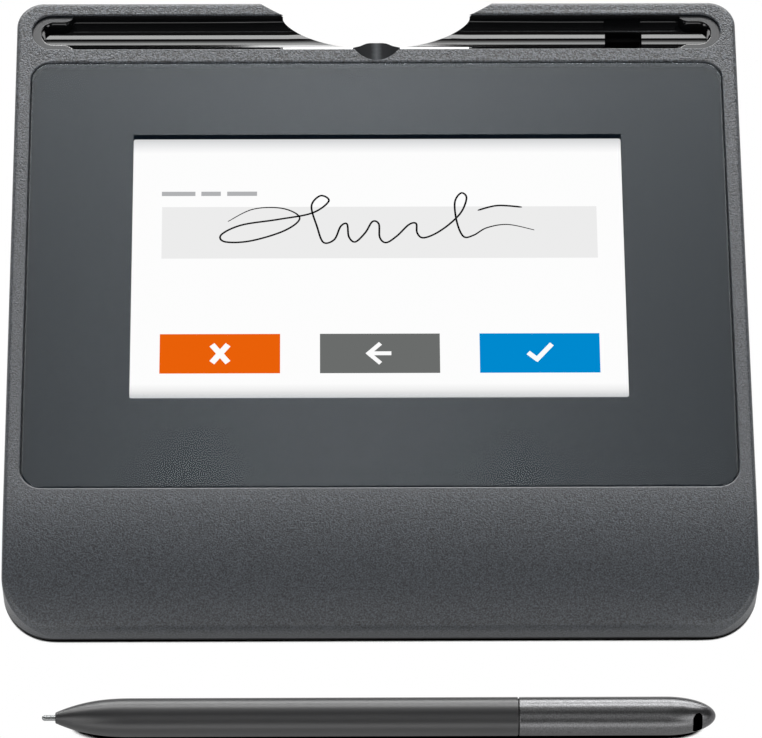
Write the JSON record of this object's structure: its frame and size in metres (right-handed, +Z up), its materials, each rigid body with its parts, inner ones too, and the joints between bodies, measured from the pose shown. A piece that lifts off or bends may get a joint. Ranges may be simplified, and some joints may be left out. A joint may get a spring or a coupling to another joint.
{
  "type": "signature pad",
  "caption": "Desktop signature pad with a glass-covered colour screen, a pen groove with finger scallop along the rear edge, and a battery-free pen.",
  "frame": {"origin": "middle of the set's length and width, on the table that the feet and the pen stand on", "axes": "+X to the right along the screen's long side, +Y to the rear, from the pen to the groove, +Z up"},
  "size_m": [0.161, 0.177, 0.0235],
  "materials": {
    "case_grain": "fine grained dark grey moulding",
    "case_dark": "fine grained near-black moulding",
    "cover": "grey printed back, bonded, low gloss",
    "tape": "black foam tape",
    "tray_gloss": "polished black moulding",
    "display": "liquid crystal cell",
    "light_guide": "clear acrylic with white back",
    "steel": "pressed or turned steel",
    "board": "green solder mask on laminate",
    "chip": "black moulded package",
    "flex": "amber film",
    "ferrite": "sintered ferrite and loaded sheet",
    "copper": "enamelled winding wire",
    "connector": "ivory moulding",
    "foot_rubber": "matt",
    "pen_barrel": "satin dark grey",
    "pen_cap": "grey with a metallic grain",
    "pen_nib": "pale grey acetal"
  },
  "bodies": {
    "pad": {"upper_case": "case_grain", "lower_case": "case_dark", "cover_glass": "cover", "glass_tape": "tape", "pen_tray": "tray_gloss", "lcd_cell": "display", "lcd_light_guide": "light_guide", "lcd_led_bar": "connector", "lcd_frame": "steel", "lcd_flex": "flex", "sensor_board": "board", "sensor_shield": "ferrite", "sensor_flex": "flex", "chassis_plate": "steel", "main_board": "board", "usb_receptacle": "steel", "usb_tongue": "chip", "lock_slot_plate": "steel", "controller_chip": "chip", "memory_chip": "chip", "pen_amplifier_chip": "chip", "clock_crystal": "steel", "lcd_connector": "connector", "sensor_connector": "connector", "case_screw_1": "steel", "case_screw_2": "steel", "case_screw_3": "steel", "case_screw_4": "steel", "case_screw_5": "steel", "case_screw_6": "steel", "chassis_screw_1": "steel", "chassis_screw_2": "steel", "chassis_screw_3": "steel", "chassis_screw_4": "steel", "board_screw_1": "steel", "board_screw_2": "steel", "board_screw_3": "steel", "board_screw_4": "steel", "foot_front_left": "foot_rubber", "foot_front_right": "foot_rubber", "foot_rear_left": "foot_rubber", "foot_rear_right": "foot_rubber"},
    "pen": {"pen_front_barrel": "pen_barrel", "pen_rear_cap": "pen_cap", "pen_ferrite_core": "ferrite", "pen_coil": "copper", "pen_pressure_sensor": "steel", "pen_carrier": "connector", "pen_board": "board"},
    "nib": {"pen_nib": "pen_nib"}
  },
  "joints": [
    {"name": "pen_lift", "type": "slide", "parent": "pad", "child": "pen", "axis": [0, 0, 1], "range_m": [0, 0.06]},
    {"name": "nib_press", "type": "slide", "parent": "pen", "child": "nib", "axis": [1, 0, 0], "range_m": [0, 0.0004], "stiffness_N_per_m": 250}
  ]
}
